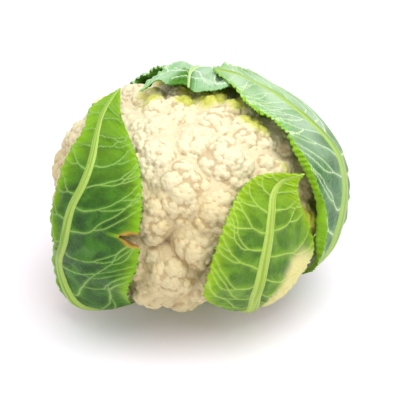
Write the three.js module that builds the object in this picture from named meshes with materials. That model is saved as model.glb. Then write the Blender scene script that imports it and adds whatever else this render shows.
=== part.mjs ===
// A whole cauliflower head on its cut stem, with four wrapper leaves folded up round the curd.
// Millimetres, +Z up, the camera side is -Y. The origin is the middle of the cut stem face.
import * as THREE from "three";
import { ConvexHull } from "three/addons/math/ConvexHull.js";

// Sizes of the head
const HEAD_RADIUS = 84; // half the width of the curd
const HEAD_CENTRE = 68; // height of its widest level
const HEAD_RISE = 63; // from the widest level to the crown
const HEAD_DROP = 58; // from the widest level to the underside
const UNDERSIDE_Z = 14.3; // flat seat of the curd over the stem

// Sizes of the florets
const FLORETS = 82;
const FLORET_RADIUS = 21;
const FLORET_SPREAD = 1.8; // how much the radii differ
const FLORET_SINK = 2.6; // how far some crests sit below the outline
const LOWEST_FLORET = -0.71; // sine of the lowest height angle
const BUDS_EACH = 38;
const BUD_RADIUS = 4.7;
const BUD_GAP = 5.1; // least distance between two buds
const CREASE = 1.3; // depth of the creases between buds
const BUD_REACH = 56; // degrees of each floret's dome that carry buds

// Sizes of the stem
const STEM_RADIUS = 23.6;
const STEM_HEIGHT = 14;
const STEM_CHAMFER = 1.6;
const LEAF_SCARS = 7;
const SCAR_RISE = 1.1;

// Sizes of the leaves
const BLADE = 1.1; // thickness of the blade
const TOOTH = 1.7; // how far the margin teeth stand out

const rad = THREE.MathUtils.degToRad;
const GOLDEN = Math.PI * (3 - Math.sqrt(5));
const centre = new THREE.Vector3(0, 0, HEAD_CENTRE);

// A repeatable run of numbers between 0 and 1
function chance(seed) {
  let state = seed;
  return () => {
    state = (state * 48271) % 2147483647;
    return state / 2147483647;
  };
}

// Unit direction from a bearing round the head and a height angle, both in degrees
function heading(bearing, height) {
  const flat = Math.cos(rad(height));
  return new THREE.Vector3(
    flat * Math.cos(rad(bearing)),
    flat * Math.sin(rad(bearing)),
    Math.sin(rad(height)),
  );
}

// A smooth hump over the bearings, 1 at its middle
function hump(bearing, middle, width) {
  const away = ((((bearing - middle + 180) % 360) + 360) % 360) - 180;
  return Math.exp(-((away / width) ** 2));
}

// Distance from the centre to the smooth outline of the head. The underside is fullest at the front,
// where one floret hangs low, and drawn in on both sides of it, where leaf stalks come out.
function outline(dir) {
  const flat = Math.hypot(dir.x, dir.y) / HEAD_RADIUS;
  if (dir.z >= 0) return (flat ** 2.6 + (dir.z / HEAD_RISE) ** 2.6) ** (-1 / 2.6);
  const bearing = THREE.MathUtils.radToDeg(Math.atan2(dir.y, dir.x));
  const square =
    2.75 +
    0.35 * hump(bearing, -96, 16) -
    0.75 * hump(bearing, -121, 13) -
    0.75 * hump(bearing, -76, 16);
  return (flat ** square + (-dir.z / HEAD_DROP) ** square) ** (-1 / square);
}

// Florets: domes set round the head in a spiral, crests on the outline or a little below it
function makeFlorets() {
  const next = chance(20177);
  return Array.from({ length: FLORETS }, (_, i) => {
    const height = 1 - ((1 - LOWEST_FLORET) * (i + 0.5)) / FLORETS;
    const flat = Math.sqrt(1 - height * height);
    const turn = i * GOLDEN + 2.13;
    const dir = new THREE.Vector3(
      flat * Math.cos(turn) + 0.09 * (next() - 0.5),
      flat * Math.sin(turn) + 0.09 * (next() - 0.5),
      height + 0.09 * (next() - 0.5),
    ).normalize();
    const radius = FLORET_RADIUS + FLORET_SPREAD * (2 * next() - 1);
    const crest = outline(dir) - FLORET_SINK * next();
    return { at: dir.multiplyScalar(crest - radius), radius };
  });
}

// Buds: smaller domes spread over each floret, left out where another floret covers them
function makeBuds(florets) {
  const next = chance(4211);
  const buds = [];
  const cap = 1 - Math.cos(rad(BUD_REACH));
  for (const floret of florets) {
    const up = floret.at.clone().normalize();
    const side = new THREE.Vector3(-up.y, up.x, 0.001).normalize();
    const across = up.clone().cross(side);
    const start = 6.283 * next();
    for (let k = 0; k < BUDS_EACH; k++) {
      const lift = 1 - (cap * (k + 0.35)) / BUDS_EACH;
      const flat = Math.sqrt(1 - lift * lift);
      const turn = start + k * GOLDEN + 0.35 * (next() - 0.5);
      const out = up
        .clone()
        .multiplyScalar(lift)
        .addScaledVector(side, flat * Math.cos(turn))
        .addScaledVector(across, flat * Math.sin(turn));
      const radius = BUD_RADIUS * (0.9 + 0.24 * next());
      const crest = floret.at.clone().addScaledVector(out, floret.radius);
      const covered = florets.some((f) => f !== floret && f.at.distanceTo(crest) < f.radius - 0.4);
      const crowded = buds.some((b) => b.crest.distanceTo(crest) < BUD_GAP);
      if (covered || crowded) continue;
      buds.push({ crest, at: crest.clone().addScaledVector(out, -radius), radius });
    }
  }
  return buds;
}

// How far out a ray from the centre leaves a dome, or 0 where it misses the dome
function domeReach(dir, dome, shrink) {
  const along = dir.dot(dome.at);
  const radius = dome.radius - shrink;
  const inside = along * along - dome.at.lengthSq() + radius * radius;
  return inside > 0 ? along + Math.sqrt(inside) : 0;
}

// The branches under the florets: a ridged cone that ends in the flat seat over the stem
function branchReach(dir) {
  const flat = Math.hypot(dir.x, dir.y);
  if (dir.z > -0.3) return 0.7 * outline(dir);
  const ridges = 1 + 0.03 * Math.cos(11 * Math.atan2(dir.y, dir.x));
  const cone = (58.4 * ridges) / (0.651 * flat - 0.76 * dir.z);
  return Math.min(cone, (HEAD_CENTRE - UNDERSIDE_Z) / -dir.z);
}

// Curd: one faceted bud round each crest, with its corners down in the creases between the buds
function curdGeometry() {
  const florets = makeFlorets();
  const buds = makeBuds(florets);
  const reach = (dir) => {
    let far = branchReach(dir);
    for (const f of florets) far = Math.max(far, domeReach(dir, f, CREASE));
    for (const b of buds) far = Math.max(far, domeReach(dir, b, 0));
    const overStem = Math.hypot(dir.x, dir.y) < -0.58 * dir.z;
    return Math.min(far, overStem ? branchReach(dir) : outline(dir) + 1);
  };
  const dirs = buds.map((b) => b.crest.clone().normalize());
  for (const [height, count] of [[-90, 1], [-76, 8], [-64.5, 16], [-61.5, 22], [-55, 22], [-49, 22]])
    for (let k = 0; k < count; k++) {
      const dir = heading((360 * (k + 0.5 * (height > -60))) / count, height);
      if (buds.every((b) => b.crest.angleTo(dir) > 0.09)) dirs.push(dir);
    }
  const place = (dir) => dir.clone().multiplyScalar(reach(dir)).add(centre);
  const faces = new ConvexHull().setFromPoints(dirs).faces;
  const positions = [];
  const corner = new Map();
  const crest = new Map(dirs.map((d) => [d, place(d)]));
  for (const face of faces) {
    const middle = new THREE.Vector3();
    for (let e = face.edge, n = 0; n < 3; n++, e = e.next) middle.add(e.head().point);
    corner.set(face, place(middle.normalize()));
  }
  for (const face of faces)
    for (let e = face.edge, n = 0; n < 3; n++, e = e.next)
      for (const p of [crest.get(e.tail().point), corner.get(e.twin.face), corner.get(face)])
        positions.push(p.x, p.y, p.z);
  return new THREE.BufferGeometry().setAttribute(
    "position",
    new THREE.Float32BufferAttribute(positions, 3),
  );
}

// Stem: a short cut butt, broadest at the top, with the scars of trimmed leaves round its side
function stemGeometry() {
  const levels = [0, STEM_CHAMFER, 4.5, 7.5, 10.5, STEM_HEIGHT];
  const sides = 42;
  const ring = (level, k) => {
    const turn = (2 * Math.PI * k) / sides;
    const z = levels[level];
    let radius = STEM_RADIUS - (level === 0 ? STEM_CHAMFER : 0) - 0.6 * Math.cos(z / 5);
    for (let s = 0; s < LEAF_SCARS; s++) {
      const away = Math.cos(turn - s * GOLDEN * 1.02 - 0.6);
      const high = (z - 4 - s * 1.1) / 3.2;
      radius += SCAR_RISE * Math.exp(-high * high) * Math.max(0, away) ** 10;
    }
    return [radius * Math.cos(turn), radius * Math.sin(turn), z];
  };
  const positions = [];
  const last = levels.length - 1;
  for (let k = 0; k < sides; k++) {
    positions.push(0, 0, 0, ...ring(0, k + 1), ...ring(0, k));
    positions.push(0, 0, STEM_HEIGHT, ...ring(last, k), ...ring(last, k + 1));
    for (let i = 0; i < last; i++) {
      positions.push(...ring(i, k), ...ring(i, k + 1), ...ring(i + 1, k + 1));
      positions.push(...ring(i, k), ...ring(i + 1, k + 1), ...ring(i + 1, k));
    }
  }
  return new THREE.BufferGeometry().setAttribute(
    "position",
    new THREE.Float32BufferAttribute(positions, 3),
  );
}

// Point on a rail, a smooth line up the leaf through points of [bearing, height, standoff]
function railPoint(rail, t) {
  const spans = rail.length - 1;
  const i = Math.min(Math.floor(t * spans), spans - 1);
  const f = t * spans - i;
  const at = (k) => {
    const [bearing, height, off] = rail[Math.min(Math.max(k, 0), spans)];
    const dir = heading(bearing, height);
    return dir.multiplyScalar(outline(dir) + off);
  };
  const [a, b, c, d] = [at(i - 1), at(i), at(i + 1), at(i + 2)];
  return new THREE.Vector3()
    .addScaledVector(a, -0.5 * f + f * f - 0.5 * f ** 3)
    .addScaledVector(b, 1 - 2.5 * f * f + 1.5 * f ** 3)
    .addScaledVector(c, 0.5 * f + 2 * f * f - 1.5 * f ** 3)
    .addScaledVector(d, -0.5 * f * f + 0.5 * f ** 3);
}

// Point between the midrib and the margin: it keeps to the curve of the head, and lifts in waves
function bladePoint(leaf, rails, t, s) {
  const spans = rails.length - 1;
  const i = Math.min(Math.floor(s * spans), spans - 1);
  const f = s * spans - i;
  const p = railPoint(rails[i], t);
  const q = railPoint(rails[i + 1], t);
  const offP = p.length() - outline(p.clone().normalize());
  const offQ = q.length() - outline(q.clone().normalize());
  const dir = p.normalize().lerp(q.normalize(), f).normalize();
  const wave = 0.5 + 0.5 * Math.sin(2 * Math.PI * leaf.waves * t + 3 * s);
  const open = THREE.MathUtils.smoothstep(t, 0.15, 0.4) * (leaf.blunt ? 1 : 1 - t ** 6);
  const off = offP + (offQ - offP) * f + leaf.wave * open * wave * s * s;
  return dir.multiplyScalar(outline(dir) + off);
}

// One leaf: rows up the leaf, columns from margin to margin, two faces and a rim all round. The
// midrib swells on the outer face, the margin is toothed, and a torn leaf has one deep notch.
function leafGeometry(leaf) {
  const rows = [];
  for (let i = 0; i <= leaf.rows; i++) rows.push({ t: i / leaf.rows, tooth: i % 2 });
  if (leaf.tear) {
    const at = rows.findIndex((r) => r.t > leaf.tear);
    const { t } = rows[at];
    rows.splice(at, 1, { t: t - 0.011, tooth: 0 }, { t, tear: 1 }, { t: t + 0.011, tooth: 1 });
  }
  const columns = [];
  for (const s of leaf.columns) columns.unshift(-s);
  columns.push(-1.01, -0.5, 0, 0.5, 1.01);
  for (const s of leaf.columns) columns.push(s);

  // Columns inside 1.01 belong to the midrib and keep to its width
  const grid = rows.map(({ t, tooth, tear }) =>
    columns.map((column, j) => {
      const rails = column < 0 ? leaf.left : leaf.right;
      const width = railPoint(rails[0], t).distanceTo(railPoint(rails[1], t));
      const ribHalf = THREE.MathUtils.lerp(leaf.rib, 0.9, t ** 0.7);
      const most = 0.42 / (rails.length - 1);
      const ribShare = Math.min(ribHalf / Math.max(width, 0.01) / (rails.length - 1), most);
      const inRib = j >= leaf.columns.length && j < columns.length - leaf.columns.length;
      let s = inRib ? Math.abs(column) * ribShare : Math.abs(column);
      if (tear && column > 0.9 && !inRib) s = 0.7;
      if (Math.abs(column) === 1 && tooth && t > 0.28 && t < 0.985) s += TOOTH / leaf.halfWidth;
      const bulge = inRib ? Math.sqrt(Math.max(0, 1 - Math.min(1, column * column))) : 0;
      const high = THREE.MathUtils.lerp(leaf.ribRise, 0.35, t ** 0.55);
      return { at: bladePoint(leaf, rails, t, s), swell: bulge * high };
    }),
  );

  const top = grid.length - 1;
  const wide = columns.length - 1;
  const outer = [];
  const inner = [];
  for (let i = 0; i <= top; i++)
    for (let j = 0; j <= wide; j++) {
      const up = grid[Math.min(i + 1, top - (leaf.blunt ? 0 : 1))][j].at.clone();
      up.sub(grid[Math.max(Math.min(i, top - 1) - 1, 0)][j].at);
      const row = grid[leaf.blunt ? i : Math.min(i, top - 1)];
      const over = row[Math.min(j + 1, wide)].at.clone().sub(row[Math.max(j - 1, 0)].at);
      const out = over.cross(up).normalize();
      const { at, swell } = grid[i][j];
      outer.push(at.clone().addScaledVector(out, BLADE / 2 + swell).add(centre));
      inner.push(at.clone().addScaledVector(out, -BLADE / 2 - 0.25 * swell).add(centre));
    }

  const positions = [];
  const face = (...corners) => corners.forEach((p) => positions.push(p.x, p.y, p.z));
  const wall = (a, b) => {
    face(outer[a], inner[a], inner[b]);
    face(outer[a], inner[b], outer[b]);
  };
  const id = (i, j) => i * (wide + 1) + j;
  const full = leaf.blunt ? top : top - 1;
  for (let i = 0; i < full; i++)
    for (let j = 0; j < wide; j++) {
      const [a, b, c, d] = [id(i, j), id(i, j + 1), id(i + 1, j + 1), id(i + 1, j)];
      face(outer[a], outer[b], outer[c]);
      face(outer[a], outer[c], outer[d]);
      face(inner[a], inner[c], inner[b]);
      face(inner[a], inner[d], inner[c]);
    }
  const tip = id(top, leaf.columns.length + 2);
  for (let j = 0; j < wide; j++) {
    wall(id(0, j), id(0, j + 1));
    if (leaf.blunt) wall(id(top, j + 1), id(top, j));
    else {
      face(outer[id(full, j)], outer[id(full, j + 1)], outer[tip]);
      face(inner[id(full, j)], inner[tip], inner[id(full, j + 1)]);
    }
  }
  for (let i = 0; i < full; i++) {
    wall(id(i + 1, 0), id(i, 0));
    wall(id(i, wide), id(i + 1, wide));
  }
  if (!leaf.blunt) {
    wall(tip, id(full, 0));
    wall(id(full, wide), tip);
  }
  return new THREE.BufferGeometry().setAttribute(
    "position",
    new THREE.Float32BufferAttribute(positions, 3),
  );
}

// Left leaf: its stalk comes out low at the left front and its tip lies over the left shoulder
const leftRib = [
  [-139.5, -67, 4.5], [-142, -45, 9], [-145, -31, 12.5], [-149, -15.5, 4], [-140, 1, 5],
  [-137, 15, 4], [-134, 26, 4], [-137, 36, 4], [-155, 48.5, 4], [-174, 55, 4], [165, 58.5, 5],
];
const leftFront = [
  [-129, -66.5, 5.5], [-130.5, -50.5, 5], [-121, -36, 4.5], [-112, -12, 3], [-107, 2, 2],
  [-106.5, 15.5, 2], [-107, 26.5, 2], [-111, 37, 2], [-123.5, 47, 2], [-149, 56, 2.5], [165, 58.5, 5],
];
const leftBack = [
  [-149.5, -67.5, 4.5], [-148.5, -44.5, 10.5], [-152, -31.5, 14.5], [-157, -18, 5], [-148, -3.5, 4],
  [-148.5, 8.5, 4], [-147.5, 18.5, 4], [-149, 29.5, 4], [-156.5, 41, 4], [-176.5, 48, 4], [165, 58.5, 5],
];

// Front leaf: short and broad, its pointed tip turned out and to the right
const frontRib = [
  [-43.5, -67, 4.5], [-52.5, -40.5, 4.5], [-60.5, -15.5, 2.5], [-60, -2.5, 3], [-58, 8.5, 3],
  [-56, 17, 3], [-53, 23.5, 3], [-47.5, 27, 6], [-40, 26.5, 12.5],
];
const frontLeft = [
  [-54.5, -67, 4.5], [-62.5, -39, 4], [-82, -13.5, 3], [-80.5, 0.5, 2], [-77, 13, 2],
  [-71.5, 22.5, 2], [-65, 29.5, 2.5], [-55, 31.5, 6], [-40, 26.5, 12.5],
];
const frontRight = [
  [-35.5, -67, 4.5], [-46.5, -38.5, 4.5], [-44.5, -27, 3.5], [-38, -18, 3], [-33, -10, 2],
  [-34.5, 2, 2], [-41.5, 16.5, 3], [-43, 23, 7], [-40, 26.5, 12.5],
];

// Right leaf: it stands well off the curd, bends over the crown, and its front margin rolls outwards
const rightRib = [
  [6.5, -67, 4.5], [3.5, -49.5, 7], [-2.5, -32.5, 9], [-7, -17.5, 10], [-6.5, -7, 13],
  [-3, 3, 14], [0, 13, 12.5], [2, 20, 10], [4.5, 29, 7], [8, 37.5, 5], [17.5, 48, 5],
  [39.5, 56.5, 6], [65, 60, 7],
];
const rightFold = [
  [-2, -67.5, 4.5], [-4.5, -49.5, 7], [-12, -32, 7], [-27.5, -15, 4], [-31.5, -2.5, 3.5],
  [-32.5, 13, 4], [-34.5, 25, 5], [-33.5, 34, 5], [-24.5, 43, 5], [-24.5, 50.5, 5], [-18.5, 58, 5],
  [4.5, 65, 5], [65, 60, 7],
];
const rightMargin = [
  [-3.5, -67.5, 4.5], [-6.5, -49.5, 7], [-15, -32, 7.5], [-29.5, -15, 7], [-31.5, -2.5, 9.5],
  [-32.5, 13, 10], [-34, 24.5, 9.5], [-33, 33, 8.5], [-26.5, 43.5, 5.5], [-27, 51.5, 5], [-20.5, 59.5, 5],
  [4.5, 66.5, 5], [65, 60, 7],
];
const rightBack = [
  [17.5, -67, 4.5], [10, -49, 6.5], [7.5, -32.5, 8.5], [12, -14, 9], [24, -2, 7], [33, 8, 6],
  [38, 18, 5], [43, 26, 5], [49, 33, 5], [52, 39, 5], [54, 44, 7.5], [60, 49, 7.5], [65, 60, 7],
];

// Back leaf: broad and blunt, it comes up the back and its wavy end hangs forward over the crown
const backRib = [
  [90, -66.5, 4.5], [90, -48, 6.5], [90, -30, 6.5], [89, -12.5, 6.5], [87, 6, 6], [84, 30, 5],
  [83, 52, 4.5], [86, 65, 4.5], [72.5, 85.5, 2],
];
const backLeftMiddle = [
  [96, -66.5, 4.5], [94, -48, 6.5], [96, -28, 7], [102, -12, 6.5], [105, 5, 6], [102, 25, 5],
  [98, 45, 4.5], [96, 60, 5.5], [143, 74, 4],
];
const backLeft = [
  [101, -66.5, 4.5], [97.5, -48, 6.5], [104, -28, 7], [118, -14, 6], [125, 3, 4], [121, 21, 3],
  [112, 39, 2.5], [108, 54, 4], [174, 67, 3],
];
const backRightMiddle = [
  [84, -66.5, 4.5], [86, -48, 6.5], [83, -28, 6.5], [78, -13, 6], [74, 4, 5], [73, 25, 4.5],
  [74, 46, 3], [66, 62, 2], [4, 79.5, 2],
];
const backRight = [
  [79, -66.5, 4.5], [82.5, -48, 6.5], [78, -28, 6], [66, -15, 4], [57, 2, 3], [53, 20, 2.5],
  [53, 40, 2], [45, 53, 2], [25, 62.5, 2],
];

// Colours and finish
const finish = (color, roughness) =>
  new THREE.MeshStandardMaterial({ color, roughness, metalness: 0, flatShading: true });
const cream = finish("#f2e6c4", 0.7);
const stalk = finish("#dfe5bd", 0.6);
const green = finish("#5f9a2c", 0.5);
const glaucous = finish("#7fb070", 0.5);

const cauliflower = new THREE.Group();
cauliflower.name = "cauliflower";
function add(name, geometry, material) {
  const mesh = new THREE.Mesh(geometry, material);
  mesh.name = name;
  cauliflower.add(mesh);
}

add("curd", curdGeometry(), cream);
add("stem", stemGeometry(), stalk);
add(
  "leaf_left",
  leafGeometry({
    left: [leftRib, leftBack],
    right: [leftRib, leftFront],
    rows: 30,
    columns: [0.62, 1],
    rib: 4.6,
    ribRise: 3.6,
    waves: 4,
    wave: 1.6,
    halfWidth: 34,
    tear: 0.46,
  }),
  green,
);
add(
  "leaf_front",
  leafGeometry({
    left: [frontRib, frontLeft],
    right: [frontRib, frontRight],
    rows: 26,
    columns: [0.62, 1],
    rib: 5,
    ribRise: 3.2,
    waves: 3.5,
    wave: 1.8,
    halfWidth: 30,
  }),
  green,
);
add(
  "leaf_right",
  leafGeometry({
    left: [rightRib, rightFold, rightMargin],
    right: [rightRib, rightBack],
    rows: 36,
    columns: [0.5, 0.8, 1],
    rib: 4.8,
    ribRise: 3.8,
    waves: 5,
    wave: 1.2,
    halfWidth: 30,
  }),
  glaucous,
);
add(
  "leaf_back",
  leafGeometry({
    left: [backRib, backRightMiddle, backRight],
    right: [backRib, backLeftMiddle, backLeft],
    rows: 28,
    columns: [0.5, 0.76, 1],
    rib: 4.8,
    ribRise: 3.6,
    waves: 4,
    wave: 1.2,
    halfWidth: 60,
    blunt: true,
  }),
  glaucous,
);

export default cauliflower;
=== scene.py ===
"""A cauliflower on its cut stem, with four wrapper leaves, dressed for a bright studio picture.

The curd, the stem and each leaf take their form from the same few rules and sizes as the solids of the
frame, drawn much finer: clumps and buds on the florets, veins and puckers on the blades, teeth on the
margins. Sizes are in millimetres until a mesh is written, and directions start at the middle of the head.
"""

import logging
import math
from collections.abc import Callable, Iterator
from dataclasses import dataclass
from enum import Enum

import bmesh
import bpy
import numpy as np
from bpy.types import Mesh, Node, NodeSocket, NodeTree, Object
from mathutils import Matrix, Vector
from mathutils.kdtree import KDTree


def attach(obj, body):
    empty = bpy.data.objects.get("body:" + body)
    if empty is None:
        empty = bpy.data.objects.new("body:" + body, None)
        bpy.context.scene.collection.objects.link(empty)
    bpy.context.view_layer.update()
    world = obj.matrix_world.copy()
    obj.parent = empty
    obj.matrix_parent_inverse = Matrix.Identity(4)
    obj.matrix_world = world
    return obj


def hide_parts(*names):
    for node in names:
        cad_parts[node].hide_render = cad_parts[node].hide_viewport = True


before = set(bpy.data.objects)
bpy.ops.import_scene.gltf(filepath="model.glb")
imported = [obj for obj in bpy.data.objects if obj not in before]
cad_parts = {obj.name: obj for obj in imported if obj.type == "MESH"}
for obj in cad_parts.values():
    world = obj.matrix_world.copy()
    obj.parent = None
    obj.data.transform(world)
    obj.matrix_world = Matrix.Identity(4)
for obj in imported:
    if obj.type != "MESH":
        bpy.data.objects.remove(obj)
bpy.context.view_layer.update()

log = logging.getLogger("cauliflower")

MM = 0.001
GOLDEN = math.pi * (3 - math.sqrt(5))
BODY = "root"

HEAD_RADIUS = 84.0  # half the width of the curd
HEAD_CENTRE = 68.0  # height of its widest level
HEAD_RISE = 63.0  # from the widest level to the crown
HEAD_DROP = 58.0  # from the widest level to the underside
CROWN_FULLNESS = 2.6  # how boxy the head is above its widest level: 2 is an ellipse
UNDER_FULLNESS = 2.75  # and below it
UNDER_CHANGES = ((-96, 16, 0.35), (-121, 13, -0.75), (-76, 16, -0.75))  # bearing, width, change

Array = np.ndarray
Rail = tuple[tuple[float, float, float], ...]
Reach = Callable[[float], float]


# Numbers and directions shared by all the pieces
def chance(seed: int) -> Iterator[float]:
    """Give a repeatable run of numbers between 0 and 1.

    Args:
        seed: Where the run starts.

    Returns:
        The endless run.
    """
    state = seed
    while True:
        state = state * 48271 % 2147483647
        yield state / 2147483647


def smooth(value: Array, low: float, high: float) -> Array:
    """Ease from 0 at low to 1 at high.

    Args:
        value: Where to read the step.
        low: Value at which the step starts.
        high: Value at which it is full.

    Returns:
        The eased share, from 0 to 1.
    """
    share = np.clip((value - low) / (high - low), 0, 1)
    return share * share * (3 - 2 * share)


def mix(first: Array, second: Array, share: Array) -> Array:
    """Go from first to second by a share of 0 to 1."""
    return first + (second - first) * share


def ripple(points: Array, size: float, seed: int) -> Array:
    """Give soft, even noise as a sum of waves that run in many directions.

    Args:
        points: Places in millimetres, one a row.
        size: Rough width of one swelling, in millimetres.
        seed: Picks the directions.

    Returns:
        Values round 0, mostly between -1 and 1.
    """
    rng = np.random.default_rng(seed)
    waves = 9
    ways = rng.normal(size=(waves, points.shape[-1]))
    ways /= np.linalg.norm(ways, axis=1)[:, None]
    ways *= (math.pi / size) * rng.uniform(0.7, 1.3, (waves, 1))
    phases = rng.uniform(0, 2 * math.pi, waves)
    return np.sin(points @ ways.T + phases).sum(-1) / math.sqrt(waves)


def heading(bearing: Array, height: Array) -> Array:
    """Turn angles into unit directions.

    Args:
        bearing: Degrees round the head.
        height: Degrees above level.

    Returns:
        The directions, one a row.
    """
    turn, lift = np.radians(bearing), np.radians(height)
    flat = np.cos(lift)
    return np.stack([flat * np.cos(turn), flat * np.sin(turn), np.sin(lift)], -1)


def outline(way: Array) -> Array:
    """Give the distance from the middle of the head to its smooth outline.

    The underside is fullest at the front, where one floret hangs low, and drawn in on both sides of it,
    where leaf stalks come out.

    Args:
        way: Unit directions, one a row.

    Returns:
        Distances in millimetres.
    """
    flat = np.hypot(way[..., 0], way[..., 1]) / HEAD_RADIUS
    bearing = np.degrees(np.arctan2(way[..., 1], way[..., 0]))
    under = UNDER_FULLNESS
    for middle, width, change in UNDER_CHANGES:
        away = (bearing - middle + 180) % 360 - 180
        under = under + change * np.exp(-((away / width) ** 2))
    fullness = np.where(way[..., 2] >= 0, CROWN_FULLNESS, under)
    half = np.where(way[..., 2] >= 0, HEAD_RISE, HEAD_DROP)
    return (flat**fullness + (np.abs(way[..., 2]) / half) ** fullness) ** (-1 / fullness)


def length_of(vectors: Array) -> Array:
    """Give the length of each row."""
    return np.linalg.norm(vectors, axis=-1)


def unit(vectors: Array) -> Array:
    """Scale each row to length 1."""
    return vectors / np.maximum(length_of(vectors), 1e-9)[..., None]


# Finishes
def linear(colour: str) -> tuple[float, float, float, float]:
    """Turn an sRGB hex colour into linear light.

    Args:
        colour: The colour as #rrggbb.

    Returns:
        Linear red, green and blue, and full alpha.
    """
    parts = [int(colour[i : i + 2], 16) / 255 for i in (1, 3, 5)]
    red, green, blue = (c / 12.92 if c <= 0.04045 else ((c + 0.055) / 1.055) ** 2.4 for c in parts)
    return (red, green, blue, 1.0)


def add_node(
    tree: NodeTree, kind: str, values: dict | None = None, links: dict | None = None,
    **settings: object,
) -> Node:
    """Add one shader node with its settings, socket values and incoming links.

    Args:
        tree: Node tree of the material or world.
        kind: Name of the node type.
        values: Socket name or number to its value.
        links: Socket name or number to the output that feeds it.
        **settings: Properties of the node itself.

    Returns:
        The new node.
    """
    node = tree.nodes.new(kind)
    for name, setting in settings.items():
        setattr(node, name, setting)
    for socket, value in (values or {}).items():
        node.inputs[socket].default_value = value
    for socket, source in (links or {}).items():
        tree.links.new(source, node.inputs[socket])
    return node


class Texture(Enum):
    """The kinds of pattern: soft clouds, round cells, and the net of lines between cells."""

    CLOUD = "cloud"
    CELLS = "cells"
    NET = "net"


@dataclass(frozen=True)
class Tint:
    """A colour laid over the ones before it, where a painted mask or a pattern says."""

    colour: str
    mask: str
    start: float = 0.0
    full: float = 1.0
    most: float = 1.0


@dataclass(frozen=True)
class Pattern:
    """Marks of one real size, in millimetres, with a colour and a relief."""

    texture: Texture
    size: float
    colour: str = ""
    start: float = 0.4
    full: float = 0.7
    most: float = 0.5
    relief: float = 0.0
    on_blade: bool = False


@dataclass(frozen=True)
class Finish:
    """One real surface: its colours, patterns, gloss and how far light soaks in."""

    name: str
    colour: str
    tints: tuple[Tint, ...] = ()
    patterns: tuple[Pattern, ...] = ()
    roughness: float = 0.5
    soak: float = 0.0
    soak_mm: tuple[float, float, float] = (1.0, 1.0, 1.0)
    sheen: float = 0.0
    ior: float = 1.4

    def material(self) -> bpy.types.Material:
        """Build the node material.

        Returns:
            The material, with patterns first and masks laid over them in order.
        """
        made = bpy.data.materials.new(self.name)
        made.use_nodes = True
        tree = made.node_tree
        tree.nodes.clear()
        coords = add_node(tree, "ShaderNodeTexCoord")
        colour = add_node(tree, "ShaderNodeRGB").outputs[0]
        colour.default_value = linear(self.colour)
        relief = None
        for pattern in self.patterns:
            mark = self.mark(tree, pattern, coords)
            if pattern.colour:
                colour = self.lay(tree, colour, mark, pattern)
            if pattern.relief:
                depth = {"Strength": 1.0, "Distance": pattern.relief * MM}
                onto = {"Height": mark} | ({"Normal": relief} if relief else {})
                relief = add_node(tree, "ShaderNodeBump", depth, onto).outputs["Normal"]
        for tint in self.tints:
            mask = add_node(tree, "ShaderNodeAttribute", attribute_name=tint.mask).outputs["Fac"]
            colour = self.lay(tree, colour, mask, tint)
        values = {
            "Roughness": self.roughness,
            "IOR": self.ior,
            "Subsurface Weight": self.soak,
            "Subsurface Radius": self.soak_mm,
            "Subsurface Scale": MM,
            "Sheen Weight": self.sheen,
            "Sheen Roughness": 0.4,
            "Sheen Tint": linear("#ffffff"),
        }
        links = {"Base Color": colour} | ({"Normal": relief} if relief else {})
        shader = add_node(tree, "ShaderNodeBsdfPrincipled", values, links)
        add_node(tree, "ShaderNodeOutputMaterial", links={"Surface": shader.outputs[0]})
        return made

    def mark(
        self, tree: NodeTree, pattern: Pattern, coords: Node
    ) -> NodeSocket:
        """Add the texture of one pattern.

        Args:
            tree: Node tree of the material.
            pattern: What to draw, and how large.
            coords: The coordinate node.

        Returns:
            The output that holds the pattern's height.
        """
        place = coords.outputs["UV" if pattern.on_blade else "Object"]
        scale = 1 / (pattern.size * MM)
        if pattern.texture is Texture.CLOUD:
            grain = {"Scale": scale, "Detail": 3.0, "Roughness": 0.55, "Distortion": 0.3}
            return add_node(tree, "ShaderNodeTexNoise", grain, {"Vector": place}).outputs["Fac"]
        is_net = pattern.texture is Texture.NET
        feature = "DISTANCE_TO_EDGE" if is_net else "SMOOTH_F1"
        cells = add_node(
            tree, "ShaderNodeTexVoronoi", {"Scale": scale}, {"Vector": place}, feature=feature
        )
        low, high = (0.0, 0.13) if is_net else (0.1, 0.75)
        flip = {"From Min": low, "From Max": high, "To Min": 1.0, "To Max": 0.0}
        return add_node(
            tree, "ShaderNodeMapRange", flip, {"Value": cells.outputs["Distance"]}
        ).outputs[0]

    def lay(
        self, tree: NodeTree, under: NodeSocket, mask: NodeSocket,
        over: Tint | Pattern,
    ) -> NodeSocket:
        """Lay one colour over another by a mask.

        Args:
            tree: Node tree of the material.
            under: The colour so far.
            mask: Where the new colour goes.
            over: The new colour, with the mask values where it starts and is full.

        Returns:
            The mixed colour.
        """
        ease = {"From Min": over.start, "From Max": over.full, "To Min": 0.0, "To Max": over.most}
        share = add_node(
            tree, "ShaderNodeMapRange", ease, {"Value": mask}, interpolation_type="SMOOTHSTEP"
        )
        factor, first, second, result = 0, 6, 7, 2
        above = {second: linear(over.colour)}
        below = {factor: share.outputs[0], first: under}
        return add_node(tree, "ShaderNodeMix", above, below, data_type="RGBA").outputs[result]


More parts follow.
